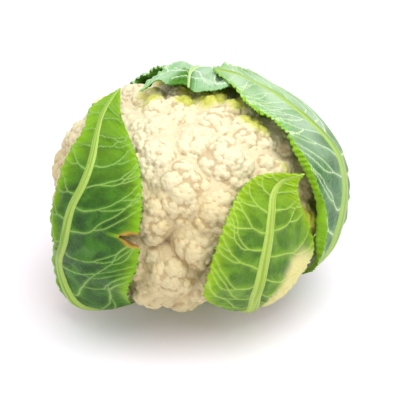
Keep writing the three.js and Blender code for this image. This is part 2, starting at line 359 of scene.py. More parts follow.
# Fresh curd: a waxy, slightly translucent cream skin of tiny flower buds, with painted shade in its
# creases, painted light on its crown and bud tops, and painted leaf shade
CURD_FINISH = Finish(
    name="fresh_cauliflower_curd",
    colour="#cfc094",
    patterns=(
        Pattern(Texture.CLOUD, 16.0, "#cfba80", 0.42, 0.72, 0.5),
        # Painted highlight: lighter cream at the middle of each small cell, on the top of every bud
        Pattern(Texture.CELLS, 1.7, "#dcd2a8", 0.5, 1.0, 0.4, relief=0.4),
    ),
    tints=(
        # Painted light: paler towards the top of the head, where the light falls
        Tint("#e6debf", "crown", 0.1, 0.9, 0.7),
        # Painted shade: tan between buds and between clumps, dark brown deep in the crevices, where shade
        # falls
        Tint("#a5824c", "bud_crease_shade", 0.1, 1.0, 0.55),
        Tint("#9a7340", "crease_shade", 0.1, 1.0, 0.7),
        Tint("#6e4a28", "crevice", 0.1, 1.0, 0.8),
        Tint("#dfe6b4", "branch", 0.1, 0.9, 0.85),
        # Painted shade: green-yellow under the leaves that stand over the curd
        Tint("#bcc030", "leaf_shade", 0.05, 0.9, 0.85),
    ),
    roughness=0.55,
    soak=0.2,
    soak_mm=(1.5, 1.2, 0.6),
)

# Cut butt: pale, juicy and fibrous, with a greener skin and a darker ring of vessels
STEM_FINISH = Finish(
    name="cut_cauliflower_stem",
    colour="#e6ebc4",
    patterns=(
        Pattern(Texture.CLOUD, 5.0, "#cfd99a", 0.4, 0.7, 0.6, relief=0.25),
        Pattern(Texture.CELLS, 1.1, "#f6f6e2", 0.5, 1.0, 0.35, relief=0.12),
    ),
    tints=(
        Tint("#b9cf84", "skin", 0.2, 1.0, 0.8),
        Tint("#c9cf9a", "vessels", 0.2, 1.0, 0.8),
        Tint("#a98b5a", "dry", 0.3, 1.0, 0.6),
    ),
    roughness=0.45,
    soak=0.2,
    soak_mm=(1.5, 1.5, 0.8),
)


def leaf_finish(
    name: str, blade: str, deep: str, margin: str, vein: str, rib: str, rib_edge: str, inner: str,
    pale: str, bloom_and_highlight: float,
) -> Finish:
    """Give the finish of one leaf: a waxy green skin with pale veins over soft, watery flesh.

    Args:
        name: Name of the material.
        blade: Colour between the veins.
        deep: Darker colour in the hollows.
        margin: Colour of the thin, sunlit margin, also laid towards the tip as painted light.
        vein: Colour of the raised veins.
        rib: Colour of the midrib's crest.
        rib_edge: Colour of its shoulders.
        inner: Colour of the face towards the curd.
        pale: Colour where light was kept off.
        bloom_and_highlight: Strength of the grey wax coat, painted paler towards the top as painted
            highlight, from 0 to 1.

    Returns:
        The finish.
    """
    return Finish(
        name=name,
        colour=blade,
        patterns=(
            Pattern(Texture.CLOUD, 11.0, deep, 0.42, 0.66, 0.75, relief=0.5, on_blade=True),
            Pattern(Texture.NET, 5.2, vein, 0.35, 1.0, 0.09, relief=0.14, on_blade=True),
            Pattern(Texture.NET, 1.9, vein, 0.4, 1.0, 0.05, relief=0.07, on_blade=True),
        ),
        tints=(
            Tint(deep, "hollow", 0.1, 0.9, 0.6),
            Tint(margin, "edge", 0.12, 0.85, 0.85),
            # Painted light: lighter yellow-green towards the tip, where the leaf lies up in the light
            Tint(margin, "tip_light", 0.0, 1.0, 0.65),
            Tint(inner, "inner", 0.4, 0.6, 0.9),
            Tint(inner, "bright", 0.1, 0.9, 1.0),
            # Grey wax coat, paler towards the top: real wax with painted highlight
            Tint("#dfeedd", "bloom_and_highlight", 0.0, 1.0, bloom_and_highlight),
            Tint(vein, "halo", 0.35, 1.0, 0.15),
            Tint(vein, "vein", 0.3, 0.9, 0.8),
            Tint(rib_edge, "rib", 0.05, 0.5, 0.95),
            Tint(rib, "crest", 0.2, 0.8, 0.85),
            Tint(rib_edge, "streak", 0.35, 0.9, 0.6),
            Tint(pale, "pale", 0.1, 0.9, 0.92),
            Tint("#dfe3bb", "base", 0.1, 0.9, 0.8),
            Tint("#24451a", "tooth", 0.25, 0.8, 0.9),
            Tint("#b98a35", "torn", 0.15, 0.6, 0.8),
            Tint("#6d4a1e", "torn", 0.7, 1.0, 0.8),
        ),
        roughness=0.42,
        soak=0.3,
        soak_mm=(0.8, 1.3, 0.2),
        sheen=0.1 * bloom_and_highlight,
        ior=1.32,
    )


# Young, well lit leaves: glossy yellow-green with a blue-green middle
LEFT_FINISH = leaf_finish(
    name="green_leaf_left", blade="#37700a", deep="#173f05", margin="#82b000", vein="#8fb454",
    rib="#74981a", rib_edge="#a8c460", inner="#5c9a12", pale="#d8d9a4", bloom_and_highlight=0.0,
)
FRONT_FINISH = leaf_finish(
    name="green_leaf_front", blade="#648f1c", deep="#336008", margin="#93b800", vein="#a6c454",
    rib="#86a428", rib_edge="#b0c860", inner="#8ab01c", pale="#ded592", bloom_and_highlight=0.0,
)

# Older outer leaves: blue-green under a thick grey wax coat, paler towards the top with painted highlight,
# bright green on the inner face
RIGHT_FINISH = leaf_finish(
    name="glaucous_leaf_right", blade="#467c3c", deep="#205420", margin="#84b662", vein="#cfe4b4",
    rib="#7c9e30", rib_edge="#9fbc64", inner="#84b41a", pale="#d9dfb0", bloom_and_highlight=0.4,
)
BACK_FINISH = leaf_finish(
    name="glaucous_leaf_back", blade="#4c8648", deep="#285f2c", margin="#8fc07c", vein="#dcecd0",
    rib="#a3c46a", rib_edge="#c4dba0", inner="#437c00", pale="#d9dfb0", bloom_and_highlight=0.34,
)

# Table top: smooth matt white laminate
TABLE_FINISH = Finish(name="matte_white_table", colour="#f8f4fb", roughness=0.9)


# Meshes
def write_mesh(name: str, bm: bmesh.types.BMesh) -> Mesh:
    """Turn a bmesh into a smooth-shaded mesh and free it.

    Args:
        name: Name of the mesh.
        bm: What to turn.

    Returns:
        The mesh.
    """
    mesh = bpy.data.meshes.new(name)
    bm.to_mesh(mesh)
    bm.free()
    mesh.shade_smooth()
    return mesh


def corners(mesh: Mesh) -> Array:
    """Read a mesh's vertex positions.

    Args:
        mesh: The mesh to read.

    Returns:
        Positions in the mesh's own units, one a row.
    """
    flat = np.empty(len(mesh.vertices) * 3, np.float32)
    mesh.vertices.foreach_get("co", flat)
    return flat.reshape(-1, 3).astype(float)


def place(mesh: Mesh, points: Array) -> None:
    """Move every vertex to a place given in millimetres from the middle of the head.

    Args:
        mesh: The mesh to shape.
        points: New places, one a row.
    """
    there = (points + [0, 0, HEAD_CENTRE]) * MM
    mesh.vertices.foreach_set("co", there.astype(np.float32).ravel())
    mesh.update()


def paint(mesh: Mesh, masks: dict[str, Array]) -> None:
    """Store masks of 0 to 1 on the vertices for the finish to read.

    Args:
        mesh: The mesh to paint.
        masks: Name of each mask to its value at every vertex.
    """
    for name, values in masks.items():
        layer = mesh.attributes.new(name, "FLOAT", "POINT")
        layer.data.foreach_set("value", np.clip(values, 0, 1).astype(np.float32))


def show(mesh: Mesh, node: str, finish: Finish) -> Object:
    """Make the piece that stands for one node of the frame.

    Args:
        mesh: The finished mesh.
        node: Name of the node it replaces.
        finish: What it is made of.

    Returns:
        The piece.
    """
    piece = bpy.data.objects.new(f"{node}_grown", mesh)
    bpy.context.scene.collection.objects.link(piece)
    mesh.materials.append(finish.material())
    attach(piece, BODY)
    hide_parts(node)
    triangles = sum(len(p.vertices) - 2 for p in mesh.polygons)
    log.info("%s stands for %s with %d triangles", piece.name, node, triangles)
    return piece


# Curd
@dataclass
class Domes:
    """Round swellings: centres from the middle of the head, radii and outward directions."""

    at: Array
    radius: Array
    out: Array

    def reach(self, way: Array) -> Array:
        """Find how far out rays from the middle of the head leave the domes.

        Args:
            way: Unit directions, one a row.

        Returns:
            The furthest exit for each ray, or 0 where it misses them all.
        """
        far = np.zeros(len(way))
        bare = (self.radius**2 - (self.at**2).sum(1)).astype(np.float32)
        centres = self.at.T.astype(np.float32)
        for start in range(0, len(way), 2000):
            along = way[start : start + 2000].astype(np.float32) @ centres
            inside = along * along + bare
            exits = np.where(inside > 0, along + np.sqrt(np.maximum(inside, 0)), 0)
            far[start : start + 2000] = exits.max(1)
        return far


@dataclass(frozen=True)
class Layer:
    """How small domes crowd over larger ones, in millimetres and degrees."""

    count: int  # places tried on each larger dome
    reach: float  # how far from its crest they go
    radius: float
    spread: float  # most that a radius differs
    sink: float  # most that a crest lies under the larger dome
    gap: float  # least distance between crests
    seed: int
    into: float  # how much deeper than that it may lie in a neighbour
    first: float = 0.35  # steps from the crest to the first place
    wander: float = 0.35  # how widely places stray from the spiral, in radians
    turn: float = 6.283  # a full turn, in radians

    def scatter(self, bases: Domes) -> Domes:
        """Spread domes over each base in a spiral, left out where another base covers them.

        Args:
            bases: The domes that carry them.

        Returns:
            The small domes.
        """
        drawn = chance(self.seed)
        crests = np.zeros((len(bases.radius) * self.count, 3))
        at, radius, out = [], [], []
        cap = 1 - math.cos(math.radians(self.reach))
        for i, (centre, size, up) in enumerate(zip(bases.at, bases.radius, bases.out)):
            side = unit(np.array([-up[1], up[0], 0.001]))
            axes = np.array([up, side, np.cross(up, side)])
            others = np.arange(len(bases.radius)) != i
            start = self.turn * next(drawn)
            for k in range(self.count):
                lift = 1 - cap * (k + self.first) / self.count
                flat = math.sqrt(1 - lift * lift)
                turn = start + k * GOLDEN + self.wander * (next(drawn) - 0.5)
                way = np.array([lift, flat * math.cos(turn), flat * math.sin(turn)]) @ axes
                own = self.radius + self.spread * (2 * next(drawn) - 1)
                crest = centre + way * (size - self.sink * next(drawn))
                clear = length_of(bases.at - crest) - bases.radius + self.sink + self.into
                crowd = length_of(crests[: len(at)] - crest)
                if (clear[others] < 0).any() or (crowd < self.gap).any():
                    continue
                crests[len(at)] = crest
                at.append(crest - way * own)
                radius.append(own)
                out.append(way)
        return Domes(np.array(at), np.array(radius), np.array(out))


@dataclass
class Curd:
    """The white head: domed florets, crowded with clumps, and those with round buds."""

    florets: int = 82
    floret_radius: float = 21.0
    floret_spread: float = 1.8
    floret_sink: float = 2.6
    lowest_floret: float = -0.71  # height of its direction, where -1 points straight down
    seed: int = 20177
    first_turn: float = 2.13
    jitter: float = 0.09
    bulge: tuple[float, float] = (-26.0, -4.0)  # bearing and height angle
    bulge_rise: float = 3.5
    bulge_width: float = 20.0
    clumps: Layer = Layer(17, 84, radius=8.6, spread=1.4, sink=1.2, gap=8.6, seed=815, into=4.5)
    buds: Layer = Layer(32, 76, radius=2.7, spread=0.5, sink=0.4, gap=3.0, seed=4211, into=0.1)
    valley_buds: Layer = Layer(120, 84, radius=3.2, spread=0.5, sink=0.8, gap=4.0, seed=977, into=1.0)
    valley_sink: float = 2.8  # how far under the florets the buds of the valleys grow
    floret_shrink: float = 4.4  # depth of the floor between clumps
    clump_shrink: float = 1.5  # depth of the floor between buds
    filled: float = 0.45  # share of a valley that crowded buds fill
    fill_from: float = 2.0
    fill_lowest: float = -0.75
    crevice: tuple[float, float] = (-93.0, 6.0)
    crevice_reach: float = 13.0
    crevice_open: float = 0.8
    cone: tuple[float, float, float] = (58.4, 0.651, 0.76)  # its distance, then its normal out and down
    cone_top: float = -0.3
    seat_z: float = 14.3
    seat_slope: float = 0.58  # half width over depth of the cone kept free over the stem
    proud: float = 4.0  # most that a bud stands outside the outline
    cuts: int = 125
    finer: tuple[float, float, float] = (0, -0.06, 0.14)  # the mesh is finer this way
    shaded_by: tuple[str, ...] = ("leaf_right", "leaf_back")
    shade_reach: float = 12.0
    shade_full: float = 0.35  # share of that reach within which the shade is full

    def grow_florets(self) -> Domes:
        """Set floret domes round the head in a spiral, crests on the outline or a little below it.

        Returns:
            The florets.
        """
        drawn = chance(self.seed)
        at, radius, out = [], [], []
        for i in range(self.florets):
            height = 1 - (1 - self.lowest_floret) * (i + 0.5) / self.florets
            flat = math.sqrt(1 - height * height)
            turn = i * GOLDEN + self.first_turn
            jitter = self.jitter * (np.array([next(drawn) for _ in range(3)]) - 0.5)
            way = unit(np.array([flat * math.cos(turn), flat * math.sin(turn), height]) + jitter)
            size = self.floret_radius + self.floret_spread * (2 * next(drawn) - 1)
            crest = float(outline(way)) - self.floret_sink * next(drawn)
            apart = math.degrees(math.acos(min(1.0, float(way @ heading(*self.bulge)))))
            crest += self.bulge_rise * math.exp(-((apart / self.bulge_width) ** 2))
            at.append(way * (crest - size))
            radius.append(size)
            out.append(way)
        return Domes(np.array(at), np.array(radius), np.array(out))

    def branches(self, way: Array) -> Array:
        """Shape the ridged branches under the florets, which end in a flat seat over the stem.

        Args:
            way: Unit directions, one a row.

        Returns:
            Their reach along each direction.
        """
        flat = np.hypot(way[:, 0], way[:, 1])
        turn = np.arctan2(way[:, 1], way[:, 0])
        below = np.minimum(way[:, 2], self.cone_top)
        ridges = 1 + 0.03 * np.cos(11 * turn) + 0.012 * np.cos(29 * turn + 9 * below)
        size, across, down = self.cone
        cone = size * ridges / (across * flat - down * below)
        seat = (HEAD_CENTRE - self.seat_z) / -below
        return np.where(way[:, 2] > self.cone_top, 0.7 * outline(way), np.minimum(cone, seat))

    def fill(self, way: Array, depth: Array) -> Array:
        """Find how far the valleys between florets are filled by crowded buds.

        Args:
            way: Unit directions, one a row.
            depth: How deep the florets lie under the outline there.

        Returns:
            Millimetres to add, nearly none where a crevice stays open.
        """
        apart = np.degrees(np.arccos(np.clip(way @ heading(*self.crevice), -1, 1)))
        kept = np.exp(-((apart / self.crevice_reach) ** 2))
        share = self.filled * (1 - self.crevice_open * kept) * (way[:, 2] > self.fill_lowest)
        return share * np.maximum(depth - self.fill_from, 0)

    def shade(self, points: Array) -> Array:
        """Find the skin that lies close under the leaves, where the green-yellow shade they cast is
        painted.

        Args:
            points: Places on the curd, in millimetres from the middle of the head.

        Returns:
            A mask, 1 where a leaf touches.
        """
        cover = []
        for node in self.shaded_by:
            cover.append(corners(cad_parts[node].data) / MM - [0, 0, HEAD_CENTRE])
        cover = np.unique(np.concatenate(cover).round(1), axis=0)
        tree = KDTree(len(cover))
        for n, point in enumerate(cover):
            tree.insert(point, n)
        tree.balance()
        near = np.array([tree.find(point)[2] for point in points])
        return 1 - smooth(near, self.shade_full * self.shade_reach, self.shade_reach)

    def build(self) -> Object:
        """Grow the curd from a finely cut cube drawn out along rays to the reach of its domes.

        Returns:
            The piece.
        """
        bm = bmesh.new()
        bmesh.ops.create_cube(bm, size=2.0)
        bmesh.ops.subdivide_edges(bm, edges=bm.edges[:], cuts=self.cuts, use_grid_fill=True)
        mesh = write_mesh("curd_grown", bm)
        way = unit(np.tan(corners(mesh) * math.pi / 4))
        way = unit(way + self.finer)

        florets = self.grow_florets()
        clumps = self.clumps.scatter(florets)
        buds = self.buds.scatter(clumps)
        floors = Domes(florets.at, florets.radius - self.valley_sink, florets.out)
        valley = self.valley_buds.scatter(floors)
        log.info("curd: %d clumps, %d buds", len(clumps.radius), len(buds.radius) + len(valley.radius))
        rim = outline(way)
        dome = florets.reach(way)
        fill = self.fill(way, rim - dome)
        dome = dome + fill
        clump = clumps.reach(way) + fill
        branch = self.branches(way)
        under = np.maximum(dome - self.floret_shrink, clump - self.clump_shrink)
        grown = np.maximum(under, np.maximum(buds.reach(way), valley.reach(way)) + fill)
        far = np.maximum(grown, branch)
        over_stem = np.hypot(way[:, 0], way[:, 1]) < -self.seat_slope * way[:, 2]
        far = np.minimum(far, np.where(over_stem, branch, rim + self.proud))
        points = way * far[:, None]
        place(mesh, points)

        on_buds = grown > branch
        masks = {
            # Painted shade, deepest far below the outline, in the creases between clumps and between buds
            "crevice": smooth(rim - far, 9.5, 16.0) * on_buds,
            "crease_shade": smooth(dome - far, 3.2, 6.0) * on_buds,
            "bud_crease_shade": smooth(clump - far, 0.7, 1.6) * on_buds,
            "branch": smooth(branch - grown, -1.0, 2.0),
            # Painted light on the top of the head
            "crown": smooth(way[:, 2], 0.1, 0.9),
            # Painted green-yellow shade under the leaves
            "leaf_shade": self.shade(points),
        }
        paint(mesh, masks)
        return show(mesh, "curd", CURD_FINISH)


# Stem
@dataclass
class Stem:
    """The short cut butt under the head, with the scars of trimmed leaves round its side."""

    radius: float = 23.6
    height: float = 14.0
    chamfer: float = 1.6
    scars: int = 7
    scar_rise: float = 1.1
    waist: float = 0.6
    fibre_rise: float = 0.2
    dish: float = 0.35
    vessel_ring: float = 16.5
    around: int = 240
    along: int = 150

    def build(self) -> Object:
        """Wrap a grid into the butt: out over the cut face, round the rim, up the side and over the top.

        Returns:
            The piece.
        """
        bm = bmesh.new()
        bmesh.ops.create_grid(bm, x_segments=self.around, y_segments=self.along, size=1.0)
        mesh = write_mesh("stem_wrap", bm)
        flat = corners(mesh)
        turn = (flat[:, 0] + 1) * math.pi
        along = (flat[:, 1] + 1) / 2

        cut_end, side_end = 0.42, 0.82
        stops = [0, cut_end, cut_end + 0.06, side_end, 1]
        out = np.interp(along, stops, [0, self.radius - self.chamfer, self.radius, self.radius, 0])
        z = np.interp(along, stops, [0, 0, self.chamfer, self.height, self.height])
        on_cut = along < cut_end
        on_side = smooth(along, cut_end, cut_end + 0.05) * (1 - smooth(along, side_end - 0.01, side_end))
        out -= self.waist * np.cos(z / 5) * np.clip(out / self.radius, 0, 1)
        scarred = np.zeros(len(out))
        for s in range(self.scars):
            facing = np.clip(np.cos(turn - s * GOLDEN * 1.02 - 0.6), 0, 1) ** 10
            scarred += facing * np.exp(-(((z - 4 - s * 1.1) / 3.2) ** 2))
        around = np.stack([np.cos(turn), np.sin(turn)], 1)
        grain = ripple(np.column_stack([around * 30, z]), 5.0, 5)
        fibres = ripple(np.column_stack([around * 60, z * 0.25]), 2.2, 9)
        out += on_side * (self.scar_rise * scarred + self.fibre_rise * fibres * (scarred < 0.5))
        dish = self.dish * np.maximum(0, 1 + ripple(around * out[:, None], 6.0, 12)) * on_cut
        z = z + dish * smooth(self.radius - out, 2.0, 5.0)
        points = np.column_stack([around * out[:, None], z - HEAD_CENTRE])
        place(mesh, points)

        ring = np.exp(-(((out - self.vessel_ring - grain) / 1.3) ** 2)) * on_cut
        dry = on_side * smooth(scarred, 0.55, 1.0) + on_cut * smooth(out, 20.5, 22.5) * 0.7
        paint(mesh, {"skin": on_side, "vessels": ring, "dry": dry})
        bm = bmesh.new()
        bm.from_mesh(mesh)
        bmesh.ops.remove_doubles(bm, verts=bm.verts[:], dist=0.002 * MM)
        bmesh.ops.recalc_face_normals(bm, faces=bm.faces[:])
        return show(write_mesh("stem_grown", bm), "stem", STEM_FINISH)


# Leaves
@dataclass
class Veins:
    """How the side veins of a leaf run: lengths in millimetres, angles in degrees from the midrib."""

    seed: int
    pitch: float = 19.0
    leave: float = 74.0  # angle at which a vein leaves the midrib
    run: float = 34.0  # angle at which it nears the margin
    width: float = 1.05  # half width at its start
    slimmest: float = 0.45
    rise: float = 0.7  # height over half width
    first: float = 0.1
    last: float = 0.94
    step: float = 2.4
    most_steps: int = 60

    def grow(self, length: float, reach: Reach, drawn: Iterator[float]) -> list[Array]:
        """Grow the veins of one half of the blade.

        Args:
            length: Length of the midrib.
            reach: Width of this half at a place along the midrib.
            drawn: Seeded numbers.

        Returns:
            Lines of points, each across, along and half width, in millimetres.
        """
        lines = []

        def line(across: float, along: float, angle: float, width: float, forks: int) -> None:
            """Grow one vein and its forks until they near the margin.

            Args:
                across: Start, out from the midrib.
                along: Start, up the leaf.
                angle: Direction at the start.
                width: Half width at the start.
                forks: How many times it may still fork.
            """
            points = [(across, along, width)]
            born = across / max(reach(along), 1.0)
            fork_at = born + 0.22 + 0.2 * next(drawn)
            while len(points) < self.most_steps:
                share = across / max(reach(along), 1.0)
                aim = self.leave + (self.run - self.leave) * min(1.0, 1.5 * share)
                angle += 0.25 * (aim - angle) + 26 * (next(drawn) - 0.5)
                across += self.step * math.sin(math.radians(angle))
                along += self.step * math.cos(math.radians(angle))
                if share > 0.95 or along > 0.985 * length or across < 0:
                    break
                slim = max(self.slimmest, width * (1 - 0.9 * (share - born)))
                points.append((across, along, slim))
                if forks and share > fork_at:
                    turn = 30 + 18 * next(drawn)
                    line(across, along, angle + turn, slim * 0.7, forks - 1)
                    angle -= 0.45 * turn
                    fork_at = share + 0.2 + 0.2 * next(drawn)
                    forks -= 1
            if len(points) > 1:
                lines.append(np.array(points))

        start = self.first * length
        while start < self.last * length:
            slim = 1 - 0.55 * start / length
            forks = 1 + (next(drawn) > 0.5)
            line(0.0, start, self.leave, self.width * slim, forks)
            start += self.pitch * slim * (0.75 + 0.5 * next(drawn))
        return lines


@dataclass
class Leaf:
    """One wrapper leaf: a blade between rails round the head, its midrib, veins and toothed margin.

    A rail is a smooth line up the leaf through points of bearing, height angle and standoff from the head.
    """

    node: str
    left: tuple[Rail, ...]
    right: tuple[Rail, ...]
    finish: Finish
    veins: Veins
    rib: float  # half width of the midrib at its foot
    rib_rise: float
    waves: float  # swells along the margin
    wave: float  # how far they lift it
    half_width: float  # of the blade, for the size of its teeth
    teeth: int
    rows: int
    seed: int
    columns: int = 150
    blade: float = 0.9  # thickness
    tooth: float = 1.7
    pucker: float = 0.45  # how far the blade swells along and between veins
    pleat: float = 0.3  # rise of the pleats near the margin
    crumple: float = 0.4  # how far the upper half is dented
    rib_tip: float = 0.9  # half width of the midrib at its end
    rib_shift: float = 0.0  # how far the midrib runs off the middle rail
    fold: float = 0.5  # share of a half blade at which its middle rail lies
    rolled: bool = False  # whether the left margin turns its inner face out
    tear: float = 0.0  # share up the leaf at which the right margin is torn
    tear_half: float = 0.012
    tear_depth: float = 0.33
    pale_side: int = 0  # half that was kept from light, -1 for the left
    blunt: bool = False  # whether it ends in a wavy edge and not in a tip
    end_waves: tuple[float, float] = (11.0, 38.0)
    end_depths: tuple[float, float] = (0.014, 0.008)
    lobe: bool = False  # whether a bright lobe hangs from that edge
    lobe_middle: float = 0.12
    lobe_half: float = 0.26

    def rail_point(self, rail: Rail, t: Array) -> Array:
        """Follow a rail to the share t of its length.

        Args:
            rail: The rail's stations.
            t: Shares from 0 to 1.

        Returns:
            Places from the middle of the head.
        """
        bearing, height, off = np.array(rail, float).T
        way = heading(bearing, height)
        stations = way * (outline(way) + off)[:, None]
        spans = len(rail) - 1
        i = np.minimum((t * spans).astype(int), spans - 1)
        f = (t * spans - i)[..., None]
        a, b, c, d = (stations[np.clip(i + k, 0, spans)] for k in (-1, 0, 1, 2))
        return (
            a * (-0.5 * f + f * f - 0.5 * f**3)
            + b * (1 - 2.5 * f * f + 1.5 * f**3)
            + c * (0.5 * f + 2 * f * f - 1.5 * f**3)
            + d * (-0.5 * f * f + 0.5 * f**3)
        )

    def half_blade(self, rails: tuple[Rail, ...], t: Array, s: Array) -> Array:
        """Place points of one half blade: it keeps to the curve of the head, and lifts in waves.

        Args:
            rails: Rails from the midrib to the margin.
            t: Shares up the leaf.
            s: Shares from the midrib to the margin.

        Returns:
            Places from the middle of the head.
        """
        lines = np.stack([self.rail_point(rail, t) for rail in rails])
        off = length_of(lines) - outline(unit(lines))
        spans = len(rails) - 1
        along = s if spans == 1 else np.interp(s, [0, self.fold, 1], [0, 1, 2])
        i = np.minimum(along.astype(int), spans - 1)
        f = along - i
        row, column = np.indices(t.shape)
        near, far = (unit(lines[i + k, row, column]) for k in (0, 1))
        way = unit(mix(near, far, f[..., None]))
        off = mix(off[i, row, column], off[i + 1, row, column], f)
        part = along / spans
        wave = 0.5 + 0.5 * np.sin(2 * math.pi * self.waves * t + 3 * part)
        opened = smooth(t, 0.15, 0.4) * (1 if self.blunt else 1 - t**6)
        off = off + self.wave * opened * wave * part * part
        return way * (outline(way) + off)[..., None]

    def toothed(self, t: Array) -> Array:
        """Give the height of the margin's teeth, 1 at a tip, at the share t up the leaf."""
        sharp = (1 - np.abs(np.sin(math.pi * self.teeth * t))) ** 1.4
        return sharp * smooth(t, 0.2, 0.3) * (1 - smooth(t, 0.97, 0.99))

    def margin(self, t: Array, x: Array, teeth: Array) -> tuple[Array, Array]:
        """Cut the margin into teeth, with a notch where it is torn.

        Args:
            t: Shares up the leaf.
            x: Shares across it, from -1 at the left margin to 1 at the right one.
            teeth: Height of the teeth, 1 at a tip.

        Returns:
            How far the margin reaches for 1 on its rail, and a mask of the torn edge.
        """
        reach = 1 + (self.tooth / self.half_width) * teeth
        if not self.tear:
            return reach, np.zeros_like(t)
        away = np.abs(t - self.tear) / self.tear_half
        notch = np.clip(1 - away + 0.18 * np.sin(t * 900), 0, 1)
        reach = np.where(x > 0, np.minimum(reach, 1.02 - self.tear_depth * notch), reach)
        torn = np.exp(-((np.maximum(away - 1, 0) / 0.8) ** 2)) * (x > 0) * smooth(np.abs(x), 0.7, 0.95)
        return reach, torn

    def build(self) -> Object:
        """Bend a thin slab of fine squares into the leaf, inner face and outer face alike.

        Returns:
            The piece.
        """
        bm = bmesh.new()
        bmesh.ops.create_grid(bm, x_segments=self.columns, y_segments=self.rows, size=1.0)
        grown = bmesh.ops.extrude_face_region(bm, geom=bm.faces[:])
        risen = [v for v in grown["geom"] if isinstance(v, bmesh.types.BMVert)]
        bmesh.ops.translate(bm, verts=risen, vec=(0, 0, 1))
        bmesh.ops.recalc_face_normals(bm, faces=bm.faces[:])
        mesh = write_mesh(f"{self.node}_grown", bm)
        flat = corners(mesh)
        column = np.rint((flat[:, 0] + 1) / 2 * self.columns).astype(int)
        row = np.rint((flat[:, 1] + 1) / 2 * self.rows).astype(int)
        outside = flat[:, 2] > 0.5

        outer, inner, masks, sheet = self.lattice()
        points = np.where(outside[:, None], outer[row, column], inner[row, column])
        place(mesh, points)
        painted = {name: mask[row, column] for name, mask in masks.items()}
        painted["inner"] = 1.0 - outside
        for name in ("vein", "halo", "rib", "crest", "streak"):
            painted[name] = painted[name] * np.where(outside, 1, 0.35)
        painted["bloom_and_highlight"] = painted["bloom_and_highlight"] * outside
        paint(mesh, painted)
        loops = np.empty(len(mesh.loops), int)
        mesh.loops.foreach_get("vertex_index", loops)
        on_blade = mesh.uv_layers.new(name="blade")
        on_blade.data.foreach_set("uv", (sheet[row, column][loops] * MM).astype(np.float32).ravel())
        return show(mesh, self.node, self.finish)

    def lattice(self) -> tuple[Array, Array, dict[str, Array], Array]:
        """Work out the leaf on a regular grid of rows up it and columns across it.

        Returns:
            Places of the outer and the inner face, the masks, and the flat blade in millimetres.
        """
        tip = 1.0 if self.blunt else 0.996
        t, x = np.meshgrid(
            np.linspace(0, tip, self.rows + 1), np.linspace(-1, 1, self.columns + 1), indexing="ij"
        )
        share = np.abs(x)
        teeth = self.toothed(t)
        if self.blunt:
            broad, fine = self.end_waves
            broad_depth, fine_depth = self.end_depths
            scallops = broad_depth * (1 + np.sin(broad * x + 1)) + fine_depth * np.abs(np.sin(fine * x))
            t = t - smooth(t, 0.75, 1.0) * scallops
        margin, torn = self.margin(t, x, teeth)
        s = share * (1 + (margin - 1) * share**5)
        left, right = (self.half_blade(rails, t, s) for rails in (self.left, self.right))
        base = np.where(x[..., None] < 0, left, right)
        for _ in range(3):
            base[:, 1:-1] = 0.25 * base[:, :-2] + 0.5 * base[:, 1:-1] + 0.25 * base[:, 2:]
        out = unit(np.cross(np.gradient(base, axis=1), np.gradient(base, axis=0)))

        middle = self.columns // 2
        steps = length_of(np.diff(base, axis=1))
        run = np.concatenate([np.zeros((len(t), 1)), np.cumsum(steps, 1)], 1)
        run = run - run[:, middle : middle + 1]
        climb = length_of(np.diff(base[:, middle], axis=0))
        along = np.concatenate([[0], np.cumsum(climb)])[:, None] + 0 * run

        room = np.where(run < 0, -run[:, :1], run[:, -1:])
        rib_half = np.minimum(mix(self.rib, self.rib_tip, t), 0.42 * room + 0.01)
        across = run - self.rib_shift * smooth(t, 0.05, 0.25) * (1 - smooth(t, 0.6, 0.9))
        over_rib = np.abs(across) / rib_half
        swell = mix(self.rib_rise, 0.35, t**0.55) * np.maximum(0, 1 - over_rib**2) ** 0.6

        vein, halo, lift = self.net(across, along)
        sheet = np.stack([across, along], -1)
        from_margin = np.where(x < 0, across - across[:, :1], across[:, -1:] - across)
        edge = np.exp(-from_margin / 8.0)
        crumple = self.crumple * smooth(t, 0.55, 0.85) * ripple(sheet, 13.0, self.seed + 9)
        base = base + out * crumple[..., None]
        hollow = np.clip(0.5 + 0.6 * ripple(sheet, 9.0, self.seed), 0, 1) * (1 - halo) * (1 - edge)
        pleats = np.sin(2 * math.pi * 1.5 * self.teeth * t + 2.2 * ripple(sheet, 14.0, self.seed + 5))
        opened = smooth(t, 0.06, 0.22) * np.clip(over_rib - 1, 0, 1)
        cushion = self.pucker * (1.3 * halo + ripple(sheet, 7.0, self.seed + 3) * (1 - halo))
        cushion = opened * (cushion + self.pleat * pleats * np.exp(-from_margin / 9.0))
        half = 0.5 * self.blade * (0.35 + 0.65 * smooth(from_margin, 0.0, 2.0))
        ridge = self.veins.rise * lift * opened
        outer = base + out * (half + swell + cushion + ridge)[..., None]
        inner = base + out * (cushion - half - 0.25 * swell)[..., None]

        streak = 0.5 + 0.5 * np.cos(over_rib * 5.5 + 1.2 * ripple(sheet * [1, 0.12], 3.0, self.seed + 8))
        on_rib = 1 - smooth(over_rib, 0.85, 1.15)
        blanched = np.zeros_like(t)
        if self.pale_side:
            low = smooth(t, 0.1, 0.2) * (1 - smooth(t, 0.42, 0.6)) * (np.sign(x) == self.pale_side)
            blanched = low * smooth(share, 0.3, 0.75)
        hanging = np.exp(-(((x - self.lobe_middle) / self.lobe_half) ** 4))
        bright = self.lobe * smooth(t, 0.8, 0.87) * hanging
        bright = bright + self.rolled * smooth(-x, self.fold, self.fold + 0.08) * smooth(t, 0.15, 0.35)
